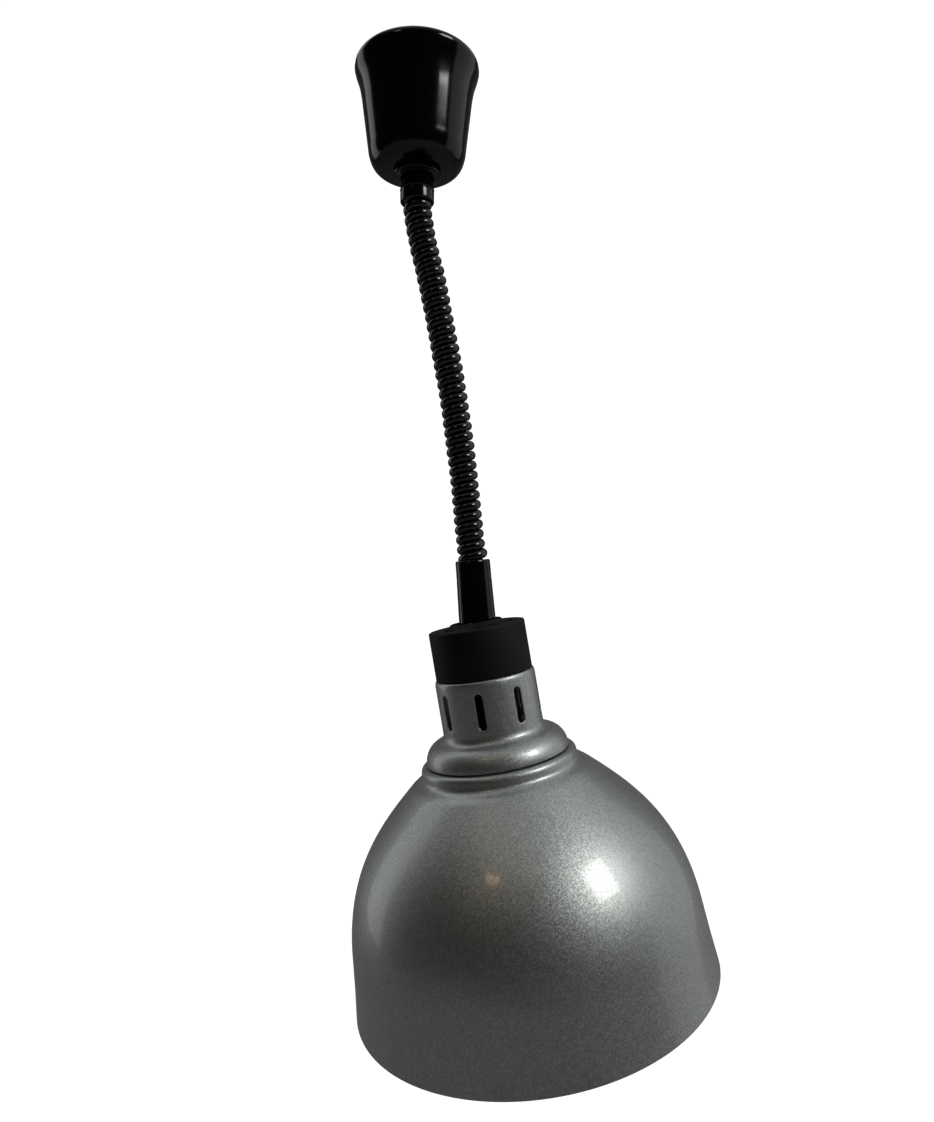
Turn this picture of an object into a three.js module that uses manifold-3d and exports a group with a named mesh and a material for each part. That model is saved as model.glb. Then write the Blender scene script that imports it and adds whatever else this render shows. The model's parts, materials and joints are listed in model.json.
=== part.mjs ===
// A ceiling-hung heat lamp on a rise-and-fall coiled cord.
// Millimetres, +Z up. The origin is the middle of the ceiling face, on the axis of the ceiling cup.
import * as THREE from "three";
import { mergeVertices } from "three/addons/utils/BufferGeometryUtils.js";
import Module from "manifold-3d";

const wasm = await Module();
wasm.setup();

// ---------- driving dimensions ----------

const GAP = 0.3; // clearance between pieces that touch
const deg = THREE.MathUtils.degToRad;

const CUP = { lip: 46.8, mouth: 44.5, waist: 37.2, height: 80, wall: 2, hole: 12.6 };
const LOCK_RING = { radius: 18, height: 3.6 };
const UPPER_SLEEVE = { flange: 15.4, bottom: -104, radius: 12.8, bore: 11.3, throat: 8.4 };

const BRACKET = { length: 74, width: 24, thick: 2, slot: 5 };
const FRAME = { left: -32, right: 9, halfWidth: 13, thick: 1.5, drop: 56 };
const FRAME_SCREW_X = [-25, 5.5];
const PLATE = { radius: 27, bore: 8.8, thick: 1.5 };
const REEL = { x: -11.8, z: -32, hub: 11, flange: 17.5, spindle: 3 };
const FRICTION_X = REEL.x - 12;
const TERMINALS = { x: 20, z: -12, pitch: 10 };
const PULL_WIRE = 0.8;

const COIL_RADIUS = 21.7 / 2;
const SWIVEL = { x: 46.9, z: -436.3, ball: 11, depth: 14 };
const SLEEVE_LEAN = deg(4.6);
const LAMP_LEAN = deg(9.6);

const LOWER_SLEEVE = { bottom: 17, top: 63.6, radius: 13.1, foot: 13.9, bore: 10.2, panel: deg(52) };
const CAP = { radius: 36.6, height: 36, crown: 5, wall: 2.4, recess: 16.8 };
const NECK = { radius: 38, wall: 1.3, top: 36.4, bottom: 97, slots: 8, slotLength: 26, slotWidth: 6 };
const SHADE = { rim: 135, top: 98, bottom: 265, wall: 1.2 };
const HOLDER = { top: 41, bottom: 88, radius: 23, bore: 14.8 };
const BULB = { wall: 1.6, neck: 17, seat: 66, cap: 13.2, shoulder: 88, face: 243 };

const POSTS = { circle: 26, angles: [70, 190, 310], radius: 4.4, bore: 2.3 };
const CLAMP = { circle: 49.5, angles: [30, 150, 270], thick: 2 };
const HOLDER_SCREW_X = 15;
const LEAD_Y = 12;
const VENT_ANGLES = [40, 100, 160, 220, 280, 340];

// Hand-set points down the middle of the coiled cord, x and z in the y = 0 plane.
const CORD_ROUTE = [
  [0, -98], [0.4, -110], [4.4, -134], [10.2, -158], [17.5, -195],
  [27, -248], [34.5, -304], [39.2, -350], [41.5, -372.5],
];
// Heights at which one stretch of the cord ends and the next begins.
const CORD_CUTS = [-98, -120, -142, -330, -351, -372.3];
const FIRST_TURN_Z = -97.6;

// Heights that follow from the dimensions above.
const FRAME_TOP = -BRACKET.thick - GAP;
const PLATE_TOP = FRAME_TOP - FRAME.drop - GAP;
const BRIDGE_TOP = -NECK.top - NECK.wall - GAP;
const BRIDGE_BOTTOM = BRIDGE_TOP - 1.5;

// ---------- materials ----------

const material = (color, roughness, metalness) =>
  new THREE.MeshStandardMaterial({ color, roughness, metalness });

const GLOSS_BLACK = material(0x0b0b0c, 0.18, 0);
const MATTE_BLACK = material(0x141414, 0.62, 0);
const CORD_BLACK = material(0x0c0c0d, 0.28, 0);
const SILVER_PAINT = material(0x9a9d9c, 0.32, 0.85);
const ZINC_STEEL = material(0xa9adb0, 0.35, 1);
const SPRING_STEEL = material(0x565b66, 0.3, 1);
const BRASS = material(0xb08d4a, 0.3, 1);
const PORCELAIN = material(0x1c1a18, 0.25, 0);
const NYLON = material(0xd8d6cc, 0.5, 0);
const BULB_GLASS = material(0xe8ecee, 0.08, 0);
const ALUMINIUM = material(0xc3c6c8, 0.35, 1);

// ---------- solid helpers ----------

// Merges the shared vertices, drops collapsed faces and turns the faces outwards.
function closed(geometry) {
  const bare = geometry.clone();
  bare.deleteAttribute("normal");
  bare.deleteAttribute("uv");
  const merged = mergeVertices(bare, 1e-4);
  const p = merged.attributes.position;
  const at = (i) => new THREE.Vector3().fromBufferAttribute(p, i);
  const source = merged.index.array;
  const index = [];
  let volume = 0;
  for (let i = 0; i < source.length; i += 3) {
    const [a, b, c] = [source[i], source[i + 1], source[i + 2]];
    if (a === b || b === c || c === a) continue;
    index.push(a, b, c);
    volume += at(a).dot(at(b).cross(at(c)));
  }
  merged.setIndex(volume < 0 ? index.reverse() : index);
  return merged;
}

function toManifold(geometry) {
  const g = closed(geometry);
  return new wasm.Manifold(new wasm.Mesh({
    numProp: 3,
    vertProperties: new Float32Array(g.attributes.position.array),
    triVerts: new Uint32Array(g.index.array),
  }));
}

function toGeometry(solid) {
  const mesh = solid.getMesh();
  return new THREE.BufferGeometry()
    .setAttribute("position", new THREE.BufferAttribute(mesh.vertProperties, 3))
    .setIndex(new THREE.BufferAttribute(mesh.triVerts, 1));
}

const cut = (body, ...tools) =>
  toGeometry(tools.reduce((left, tool) => left.subtract(toManifold(tool)), toManifold(body)));

const join = (body, ...others) =>
  toGeometry(others.reduce((sum, other) => sum.add(toManifold(other)), toManifold(body)));

const meet = (body, other) => toGeometry(toManifold(body).intersect(toManifold(other)));

// A solid of revolution about Z from [radius, z] points.
// A profile off the axis is closed on itself.
function turned(points, segments = 16) {
  const loop = points[0][0] === 0 ? points : [...points, points[0]];
  const profile = loop.map(([r, z]) => new THREE.Vector2(r, z));
  return closed(new THREE.LatheGeometry(profile, segments).rotateX(Math.PI / 2));
}

// A washer, tube or (with no bore) a disc between two heights.
function ring(outer, bore, low, high, segments = 16) {
  if (bore > 0) return turned([[bore, low], [outer, low], [outer, high], [bore, high]], segments);
  return turned([[0, low], [outer, low], [outer, high], [0, high]], segments);
}

function box(x, y, z, cx = 0, cy = 0, cz = 0) {
  return new THREE.BoxGeometry(x, y, z).translate(cx, cy, cz);
}

// A cylinder along Y between y1 and y2.
const crossPin = (r, y1, y2, x, z, segments = 14) =>
  ring(r, 0, y1, y2, segments).rotateX(-Math.PI / 2).translate(x, 0, z);

// A round bar swept along a smooth curve through the points.
function swept(points, radius, steps, sides = 10) {
  const section = new THREE.Shape().absarc(0, 0, radius, 0, 2 * Math.PI);
  const extrudePath = new THREE.CatmullRomCurve3(points, false, "centripetal");
  return closed(new THREE.ExtrudeGeometry(section, { steps, curveSegments: sides / 2, extrudePath }));
}

// A rounded-end slot, standing along Z, cut along Y.
function slotTool(width, length, depth) {
  const r = width / 2;
  const half = length / 2 - r;
  const shape = new THREE.Shape();
  shape.absarc(0, half, r, 0, Math.PI);
  shape.absarc(0, -half, r, Math.PI, 2 * Math.PI);
  return new THREE.ExtrudeGeometry(shape, { depth, bevelEnabled: false, curveSegments: 2 })
    .rotateX(Math.PI / 2)
    .translate(0, depth / 2, 0);
}

// A pan-head screw that points up, its seat at z = 0, with a straight driver slot.
function screwUp(shank, length, head) {
  const body = turned([
    [0, length], [shank, length], [shank, 0], [head, 0],
    [head, -head * 0.45], [head * 0.72, -head * 0.75], [0, -head * 0.75],
  ].reverse(), 10);
  return cut(body, box(head * 0.3, head * 3, head * 0.6, 0, 0, -head * 0.8));
}

const polar = (radius, degrees, z) =>
  new THREE.Vector3(radius * Math.cos(deg(degrees)), radius * Math.sin(deg(degrees)), z);

// Copies of a tool at a pattern's angles, on its circle.
const spread = (pattern, tool) =>
  pattern.angles.map((a) => tool.clone().translate(...polar(pattern.circle, a, 0)));

const inPlane = (points) => points.map(([x, z]) => new THREE.Vector3(x, 0, z));

function mesh(name, geometry, surface, position) {
  const piece = new THREE.Mesh(geometry, surface);
  piece.name = name;
  if (position) piece.position.copy(position);
  return piece;
}

// Samples points along a 2-D curve as [radius, z] pairs.
const along = (curve, steps) => curve.getPoints(steps).map((p) => [p.x, p.y]);
const bezier = (a, b, c, d) =>
  new THREE.CubicBezierCurve(...[a, b, c, d].map(([x, y]) => new THREE.Vector2(x, y)));
const arc = (x, y, r, from, to) =>
  new THREE.EllipseCurve(x, y, r, r, deg(from), deg(to), from > to);

// ---------- ceiling unit ----------

function ceilingUnit() {
  const unit = new THREE.Group();
  unit.add(...mounting(), ...reel(), ...frictionBrake(), ...terminals(), ...cupAndSleeve());
  return unit;
}

// Mounting strip, the folded U-shaped reel frame under it and the plate that carries the sleeve.
function mounting() {
  const strip = box(BRACKET.length, BRACKET.width, BRACKET.thick, 0, 0, -BRACKET.thick / 2);
  const ceilingSlots = [-1, 1].map((side) =>
    slotTool(BRACKET.slot, 11, 8).rotateX(Math.PI / 2).translate(side * 30.5, 0, -1));
  const screwHoles = FRAME_SCREW_X.map((x) => ring(2.3, 0, -12, 6, 16).translate(x, 0, 0));

  const width = FRAME.right - FRAME.left;
  const middle = (FRAME.left + FRAME.right) / 2;
  const web = box(width, 2 * FRAME.halfWidth, FRAME.thick, middle, 0, FRAME_TOP - FRAME.thick / 2);
  const cheeks = [-1, 1].map((side) =>
    box(width, FRAME.thick, FRAME.drop, middle,
      side * (FRAME.halfWidth - FRAME.thick / 2), FRAME_TOP - FRAME.drop / 2));
  const frame = cut(join(web, ...cheeks), ...screwHoles,
    crossPin(REEL.spindle + GAP, -20, 20, REEL.x, REEL.z),
    crossPin(2.3, -20, -5, FRICTION_X, REEL.z, 12));
  const screws = FRAME_SCREW_X.map((x, i) => {
    const seat = new THREE.Vector3(x, 0, FRAME_TOP - FRAME.thick - GAP);
    return mesh(`frame_screw_${i + 1}`, screwUp(2, 3.4, 3.6), ZINC_STEEL, seat);
  });
  const plate = ring(PLATE.radius, PLATE.bore, PLATE_TOP - PLATE.thick, PLATE_TOP, 20);
  return [
    mesh("ceiling_bracket", cut(strip, ...ceilingSlots, ...screwHoles), ZINC_STEEL),
    mesh("reel_frame", frame, ZINC_STEEL),
    ...screws,
    mesh("sleeve_plate", plate, ZINC_STEEL),
  ];
}

// A drum for the pull wire with a pocket for its spring, turning on a fixed spindle, and the wire.
function reel() {
  const drum = turned([
    [REEL.spindle + GAP, -5.6], [REEL.flange, -5.6], [REEL.flange, -4.4], [REEL.hub, -4.4],
    [REEL.hub, 4.4], [REEL.flange, 4.4], [REEL.flange, 10.2], [REEL.flange - 1.2, 10.2],
    [REEL.flange - 1.2, 5.4], [REEL.spindle + GAP, 5.4],
  ], 20).rotateX(-Math.PI / 2);
  const cover = ring(REEL.flange, 4.6, 10.5, 11.2, 20).rotateX(-Math.PI / 2);
  const spindle = join(
    crossPin(REEL.spindle, -14.6, 17.6, REEL.x, REEL.z),
    crossPin(5, -16.8, -13.3, REEL.x, REEL.z));
  const nut = ring(5.4, REEL.spindle + 0.9, 13.3, 16.3, 6)
    .rotateX(-Math.PI / 2)
    .translate(REEL.x, 0, REEL.z);
  const centre = new THREE.Vector3(REEL.x, 0, REEL.z);
  return [
    mesh("reel_drum", drum, NYLON, centre),
    mesh("spring_cover", cover, ZINC_STEEL, centre),
    mesh("balance_spring", balanceSpring().rotateX(-Math.PI / 2), SPRING_STEEL, centre),
    mesh("reel_spindle", spindle, ZINC_STEEL),
    mesh("spindle_nut", nut, ZINC_STEEL),
    mesh("pull_wire", ring(PULL_WIRE, 0, FIRST_TURN_Z, REEL.z, 8), ZINC_STEEL),
  ];
}

// Friction screw and pad that set how freely the reel runs.
function frictionBrake() {
  const innerHalf = FRAME.halfWidth - FRAME.thick;
  const pad = crossPin(3.4, GAP - innerHalf, -5.9, FRICTION_X, REEL.z, 12);
  const screw = join(
    crossPin(2, -17, -innerHalf, FRICTION_X, REEL.z, 12),
    crossPin(4.4, -17, -FRAME.halfWidth - GAP, FRICTION_X, REEL.z, 12));
  return [mesh("friction_pad", pad, NYLON), mesh("friction_screw", screw, BRASS)];
}

// Terminal block beside the frame, a screw on each pole, and the cord's straight tail up to it.
function terminals() {
  const { x, z, pitch } = TERMINALS;
  const poles = [-pitch, 0, pitch];
  const wells = poles.map((y) => ring(2.6, 0, -3.5, 12, 16).translate(x, y, z));
  const block = cut(box(9, 30, 12, x + 1, 0, z - 0.5), ...wells);
  const screws = poles.map((y, i) => {
    const head = cut(ring(2.2, 0, -3, 2.6, 16), box(1, 6, 1.6, 0, 0, 2.6));
    return mesh(`terminal_screw_${i + 1}`, head, BRASS, new THREE.Vector3(x, y, z));
  });
  const tail = inPlane([
    [5.2, FIRST_TURN_Z], [5.2, -76], [5.4, -58], [9, -51], [17, -46], [20.6, -38], [21, -19],
  ]);
  return [
    mesh("terminal_block", block, NYLON),
    ...screws,
    mesh("cord_tail_upper", swept(tail, 2.9, 10, 8), CORD_BLACK),
  ];
}

// Canopy, the stepped ring that locks it and the guide sleeve through both.
function cupAndSleeve() {
  const ringTop = -CUP.height - GAP;
  const ringBottom = ringTop - LOCK_RING.height;
  const lockRing = turned([
    [CUP.hole, ringTop], [LOCK_RING.radius, ringTop], [LOCK_RING.radius, ringBottom + 0.9],
    [LOCK_RING.radius - 0.9, ringBottom], [15.4, ringBottom], [15.4, ringBottom - 1],
    [CUP.hole, ringBottom - 1],
  ], 24);
  return [
    mesh("ceiling_cup", ceilingCup(), GLOSS_BLACK),
    mesh("cup_lock_ring", lockRing, GLOSS_BLACK),
    mesh("upper_sleeve", upperSleeve(PLATE_TOP - PLATE.thick - GAP), GLOSS_BLACK),
  ];
}

// A flat strip wound as a spiral round the spindle.
function balanceSpring() {
  const turns = 4;
  const perTurn = 14;
  const inner = 4.6;
  const pitch = 2.6;
  const thick = 0.6;
  const steps = turns * perTurn;
  const radius = (i) => inner + (pitch * i) / perTurn;
  const at = (i, r) => {
    const angle = (2 * Math.PI * i) / perTurn;
    return [r * Math.cos(angle), r * Math.sin(angle)];
  };
  const shape = new THREE.Shape();
  shape.moveTo(...at(0, radius(0)));
  for (let i = 1; i <= steps; i += 1) shape.lineTo(...at(i, radius(i)));
  for (let i = steps; i >= 0; i -= 1) shape.lineTo(...at(i, radius(i) + thick));
  const strip = new THREE.ExtrudeGeometry(shape, { depth: 4.2, bevelEnabled: false });
  return closed(strip.translate(0, 0, 5.8));
}

// Bell-shaped canopy: a rolled lip, gently tapering walls and a rounded bottom with a hole.
function ceilingCup() {
  const w = CUP.wall;
  const h = CUP.height;
  const outer = [
    [CUP.mouth, -0.4], [CUP.lip - 0.5, -2.6], [CUP.lip, -5.4], [45.9, -9], [43.6, -16],
    [41.8, -25], [40.4, -36], [38.9, -48], [CUP.waist, -62],
    ...along(bezier([36.8, -66], [35.4, -75.5], [31, -h], [24, -h]), 4),
    [CUP.hole, -h],
  ];
  const inner = [
    [CUP.hole, -h + w], [23.4, -h + w],
    ...along(bezier([24, -h + w], [30, -h + w], [33.6, -74], [34.8, -65]), 3),
    [CUP.waist - w, -61], [38.4 - w, -48], [39.8 - w, -36], [41.2 - w, -25], [43 - w, -16],
    [45 - w, -9], [CUP.mouth - 1.6, -0.4],
  ];
  return turned([...inner, ...outer], 24);
}

// Guide sleeve: a flange above the plate's hole, a waisted neck and a wider end collar.
function upperSleeve(flangeTop) {
  const s = UPPER_SLEEVE;
  return turned([
    [s.throat, flangeTop], [s.flange, flangeTop], [s.flange, flangeTop - 2.6], [11.4, flangeTop - 4],
    [11.2, -85], [12.9, -93.6], [s.radius - 0.7, -94.8], [s.radius, -96.4],
    [s.radius, s.bottom + 1.2], [s.bore + 0.5, s.bottom], [s.bore, s.bottom + 0.6],
    [s.bore, -97.4], [s.throat, -95],
  ], 20);
}

// ---------- coiled cord ----------

// The coil's outer shape: a fat tube along the route, cut into one stretch for each place it bends.
function coiledCord() {
  const cord = new THREE.Group();
  const curve = new THREE.CatmullRomCurve3(inPlane(CORD_ROUTE), false, "centripetal");
  const route = curve.getSpacedPoints(550);
  CORD_CUTS.slice(1).forEach((low, i) => {
    const high = CORD_CUTS[i] - (i > 0 ? GAP : 0);
    const stretch = route.filter((p) => p.z <= high && p.z >= low);
    const middle = stretch.filter((_, k) => k % 12 === 6 && k < stretch.length - 5);
    const points = [stretch[0], ...middle, stretch.at(-1)];
    const steps = Math.max(3, Math.round((high - low) / 24));
    cord.add(mesh(`coil_cord_${i + 1}`, swept(points, COIL_RADIUS - 0.2, steps, 12), CORD_BLACK));
  });
  return cord;
}

// ---------- lower sleeve, leaning with the cord; its origin is the swivel's centre ----------

function lowerSleeve() {
  const group = new THREE.Group();
  group.position.set(SWIVEL.x, 0, SWIVEL.z);
  group.rotation.y = -SLEEVE_LEAN;
  const s = LOWER_SLEEVE;

  // A long front panel clipped into the back shell.
  const shell = turned([
    [7, s.bottom], [s.foot, s.bottom], [s.foot, s.bottom + 4], [s.radius, s.top - 1],
    [s.radius - 0.8, s.top], [s.bore, s.top], [s.bore, s.bottom + 12], [7, s.bottom + 9],
  ], 32);
  const panelRoom = frontWedge(s.panel, 0);
  const backRoom = frontWedge(s.panel, GAP / Math.sin(s.panel));
  group.add(mesh("lower_sleeve_front", meet(shell, panelRoom), GLOSS_BLACK));
  group.add(mesh("lower_sleeve_back", cut(shell, backRoom), GLOSS_BLACK));

  // Inside: the cord's tail, its grip and the crimped end of the pull wire.
  const tail = inPlane([[4, 63.2], [4.4, 50], [4, 38]]);
  group.add(mesh("cord_tail_lower", swept(tail, 3.2, 4), CORD_BLACK));
  const grip = cut(ring(9.6, 0, 30, 37.4, 24), ring(2.2, 0, 20, 50, 16).translate(-4, 0, 0));
  group.add(mesh("cord_grip", grip, NYLON));
  const ferrule = ring(2, 0, 38, 50, 12).translate(-4, 0, 0);
  group.add(mesh("wire_ferrule", ferrule, BRASS));

  // Hollow stem with a ball foot that carries the lamp head.
  const ball = SWIVEL.ball;
  const lower = along(arc(0, 0, ball, -46, 52), 6);
  const stem = turned([[4, -8], ...lower, [6.5, 9.4], [6.5, 29.6], [4, 29.6]], 18);
  group.add(mesh("swivel_stem", stem, ZINC_STEEL));
  return group;
}

// An upright wedge that opens towards -Y by the half angle each way, its edge moved back by the shift.
function frontWedge(halfAngle, shift) {
  const reach = 60;
  const half = (reach + shift) * Math.tan(halfAngle);
  const shape = new THREE.Shape();
  shape.moveTo(0, shift);
  shape.lineTo(-half, -reach);
  shape.lineTo(half, -reach);
  return new THREE.ExtrudeGeometry(shape, { depth: 100, bevelEnabled: false });
}

// ---------- lamp head; its origin is the cap's top edge, and it hangs to -Z ----------

function lampHead() {
  const head = new THREE.Group();
  head.position.set(
    SWIVEL.x - SWIVEL.depth * Math.sin(LAMP_LEAN),
    0,
    SWIVEL.z + SWIVEL.depth * Math.cos(LAMP_LEAN));
  head.rotation.y = -LAMP_LEAN;
  head.add(
    mesh("cap", capShell(), MATTE_BLACK),
    mesh("swivel_washer", swivelWasher(), ZINC_STEEL),
    mesh("neck", neckShell(), SILVER_PAINT),
    mesh("shade", shadeShell(), SILVER_PAINT),
    ...bridge(), ...lampHolder(), ...shadeClamp(), ...bulb());
  return head;
}

// Bridge plate under the neck's flange: it carries the holder and takes the cap screws.
function bridge() {
  const plate = cut(ring(34.6, 7, BRIDGE_BOTTOM, BRIDGE_TOP, 24),
    ...spread(POSTS, ring(2.4, 0, -50, -30, 8)),
    ...[-1, 1].map((side) => ring(1.9, 0, -50, -30, 8).translate(side * HOLDER_SCREW_X, 0, 0)),
    ...[-1, 1].map((side) => ring(2, 0, -50, -30, 8).translate(0, side * LEAD_Y, 0)));
  const screws = POSTS.angles.map((a, i) => {
    const seat = polar(POSTS.circle, a, BRIDGE_BOTTOM - GAP);
    return mesh(`cap_screw_${i + 1}`, screwUp(2, 12, 3.5), ZINC_STEEL, seat);
  });
  return [mesh("holder_bridge", plate, ZINC_STEEL), ...screws];
}

// Black vented cap: straight side, shallow crown, a well for the sleeve's foot and three posts inside.
function capShell() {
  const c = CAP;
  const w = c.wall;
  const profile = [
    [8.8, -1], [c.recess, -1], [c.recess + 0.6, c.crown - 0.7], [c.recess + 1.6, c.crown - 0.2],
    [c.radius - 2.4, 0], [c.radius - 0.6, -0.8], [c.radius, -2.6], [c.radius, -c.height],
    [c.radius - w, -c.height], [c.radius - w, -3.6], [c.recess + w, c.crown - 2.8],
    [c.recess + w, -1 - w], [8.8, -1 - w],
  ];
  const posts = spread(POSTS, ring(POSTS.radius, 0, -c.height, -0.6, 10));
  const bores = spread(POSTS, ring(POSTS.bore, 0, -c.height - 5, -22, 8));
  const vents = VENT_ANGLES.map((a) => arcVent(23, 29, 32).rotateZ(deg(a)));
  return cut(join(turned(profile, 24), ...posts), ...bores, ...vents);
}

// A curved slot tool that spans the given radii and angle, centred on +X.
function arcVent(inner, outer, spread) {
  const half = deg(spread / 2);
  const shape = new THREE.Shape();
  shape.absarc(0, 0, outer, -half, half, false);
  shape.absarc(0, 0, inner, half, -half, true);
  return new THREE.ExtrudeGeometry(shape, { depth: 12, bevelEnabled: false, curveSegments: 2 })
    .translate(0, 0, -6);
}

// Washer between cap and ball, its underside a seat of the ball's shape.
function swivelWasher() {
  const centre = -SWIVEL.depth;
  const seat = along(arc(0, centre, SWIVEL.ball + GAP, 14, 46), 4);
  const top = -1 - CAP.wall - GAP;
  return turned([[14, centre + 2.7], ...seat, [8.2, top], [14, top]], 18);
}

// Silver neck: a rolled top edge with an inner flange, a slotted barrel and a rounded shoulder.
function neckShell() {
  const n = NECK;
  const w = n.wall;
  const outer = [
    [29, -n.top], [36.4, -n.top], [n.radius - 0.4, -n.top - 1.6],
    [n.radius, -75.5],
    ...along(bezier([n.radius + 0.3, -78.4], [39.4, -81.4], [42, -81.6], [44.4, -82.4]), 2),
    ...along(bezier([46.4, -83.4], [51, -86], [53.6, -90.6], [53.9, -n.bottom]), 3),
  ];
  const inner = [
    [45, -n.bottom], [45, -n.bottom + w], [52.2, -n.bottom + w],
    ...along(bezier([52, -93.5], [50.6, -88.6], [47.6, -85.6], [43.6, -83.8]), 2),
    [39.6, -82.6], [n.radius - w - 0.2, -79], [n.radius - w, -75.5],
    [n.radius - w - 0.4, -n.top - w], [29, -n.top - w],
  ];
  const slots = Array.from({ length: n.slots }, (_, k) =>
    slotTool(n.slotWidth, n.slotLength, 12)
      .translate(0, -n.radius, -58)
      .rotateZ(deg(-11 + (360 / n.slots) * k)));
  const postHoles = spread(POSTS, ring(5, 0, -45, -30, 8));
  return cut(turned([...outer, ...inner], 24), ...slots, ...postHoles, ...clampHoles());
}

// Bell shade: a bead round its top opening, a concave fillet, a dome and a slightly flared skirt.
function shadeShell() {
  const s = SHADE;
  const w = s.wall;
  const outer = [
    [45, -s.top], [54.8, -s.top],
    ...along(bezier([55.4, -98], [57.6, -98.2], [58.7, -99.6], [58.9, -102]), 2),
    [59, -105],
    ...along(bezier([59.4, -106.8], [60.4, -108.2], [62.6, -109], [66, -110.6]), 2),
    ...along(bezier([68.6, -112.6], [99.5, -140], [126.5, -166], [130.6, -222]), 6),
    [132.6, -244], [s.rim, -s.bottom],
  ];
  const inner = [
    [s.rim - w, -s.bottom], [132.6 - w, -244],
    ...along(bezier([130.6 - w, -222], [125.4, -166.8], [98.6, -141], [67.8, -113.6]), 6),
    ...along(bezier([65.2, -111.7], [61.6, -110.1], [58.6, -108.6], [57.8, -105.6]), 1),
    [57.7, -102], [56.6, -99.6], [54.8, -s.top - w], [45, -s.top - w],
  ];
  return cut(turned([...outer, ...inner], 32), ...clampHoles());
}

// Porcelain holder with its threaded shell, centre contact, screws and lead wires.
function lampHolder() {
  const h = HOLDER;
  const well = -h.top - 20;
  const body = turned([
    [0, well], [0, BRIDGE_BOTTOM - GAP], [h.radius, BRIDGE_BOTTOM - GAP],
    [h.radius, -h.bottom + 12], [h.radius - 3, -h.bottom + 9], [h.radius - 3, -h.bottom],
    [h.bore, -h.bottom], [h.bore, well],
  ].reverse(), 20);
  const holder = cut(body,
    ...[-1, 1].map((side) => ring(1.9, 0, -54, -30, 8).translate(side * HOLDER_SCREW_X, 0, 0)),
    ...[-1, 1].map((side) => ring(2.2, 0, -50, -30, 8).translate(0, side * LEAD_Y, 0)),
    ...spread(POSTS, ring(4.6, 0, -48, -30, 10)));
  const shell = ring(h.bore - GAP, h.bore - 0.9, -h.bottom + 3, well - 1, 20);
  const screws = [-1, 1].map((side, i) => {
    const seat = new THREE.Vector3(side * HOLDER_SCREW_X, 0, BRIDGE_TOP + GAP);
    return mesh(`holder_screw_${i + 1}`, screwUp(1.5, 12, 3).rotateX(Math.PI), ZINC_STEEL, seat);
  });
  return [
    mesh("lamp_holder", holder, PORCELAIN),
    mesh("screw_shell", shell, BRASS),
    mesh("centre_contact", ring(4, 0, -BULB.seat + 1.4, well - GAP, 16), BRASS),
    ...screws,
    mesh("live_wire", leadWire(-1), CORD_BLACK),
    mesh("neutral_wire", leadWire(1), NYLON),
  ];
}

// A lead from the hollow stem to the holder, on one side.
function leadWire(side) {
  const run = [[1.6, -26], [4.4, -28.6], [8.6, -30.6], [11.6, -34], [LEAD_Y, -38], [LEAD_Y, -49]];
  return swept(run.map(([y, z]) => new THREE.Vector3(0, side * y, z)), 1.1, 7, 6);
}

// Holes for the clamp's screws through the neck's foot, the shade's flange and the ring.
const clampHoles = () => spread(CLAMP, ring(2.4, 0, -110, -93, 8));

// Ring and three screws that clamp the shade's top flange under the neck.
function shadeClamp() {
  const top = -SHADE.top - SHADE.wall - GAP;
  const bottom = top - CLAMP.thick;
  const screws = CLAMP.angles.map((a, i) => {
    const seat = polar(CLAMP.circle, a, bottom - GAP);
    return mesh(`clamp_screw_${i + 1}`, screwUp(2, 7.4, 3.6), ZINC_STEEL, seat);
  });
  const clampRing = cut(ring(54, 45, bottom, top, 24), ...clampHoles());
  return [mesh("shade_clamp_ring", clampRing, ZINC_STEEL), ...screws];
}

// Reflector heat bulb: blown glass open at its neck, a threaded metal cap and an end contact.
function bulb() {
  const b = BULB;
  const outer = [
    [12, -b.shoulder], [b.neck - 1, -b.shoulder - 1.5], [b.neck, -b.shoulder - 6],
    ...along(bezier([17.4, -108], [24, -132], [50, -160], [60, -196]), 5),
    ...along(bezier([62, -206], [63.6, -222], [58, -232], [44, -238]), 3),
    [24, -241.6], [0, -b.face],
  ];
  const thinned = (z) => z + b.wall * Math.min(1, Math.max(0, (-140 - z) / 80));
  const inner = outer.map(([r, z]) => [r === 0 ? 0 : Math.max(r - b.wall, 9), thinned(z)]);
  const cap = turned([
    [0, -b.seat - 3.6], [9, -b.seat - 3.6], [b.cap, -b.seat - 6.6], [b.cap, -b.shoulder + GAP],
    [8, -b.shoulder + GAP], [8, -b.shoulder + 4], [0, -b.shoulder + 4],
  ].reverse(), 20);
  return [
    mesh("bulb_glass", turned([...inner.reverse(), ...outer], 20), BULB_GLASS),
    mesh("bulb_cap", cap, ALUMINIUM),
    mesh("bulb_contact", ring(4.6, 0, -b.seat - 3.3, -b.seat, 16), BRASS),
  ];
}

// ---------- assembly ----------

const heatLamp = new THREE.Group();
heatLamp.add(ceilingUnit(), coiledCord(), lowerSleeve(), lampHead());

export default heatLamp;
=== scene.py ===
"""Dresses a packed ceiling-hung heat lamp: smooth shells, a coiled cord, finishes and a plain studio.

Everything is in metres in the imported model's frame. Profiles are written in millimetres, as
(radius, height) pairs, and the functions that carry them round an axis turn them into metres.
"""

import json
import math
from functools import cache

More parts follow.
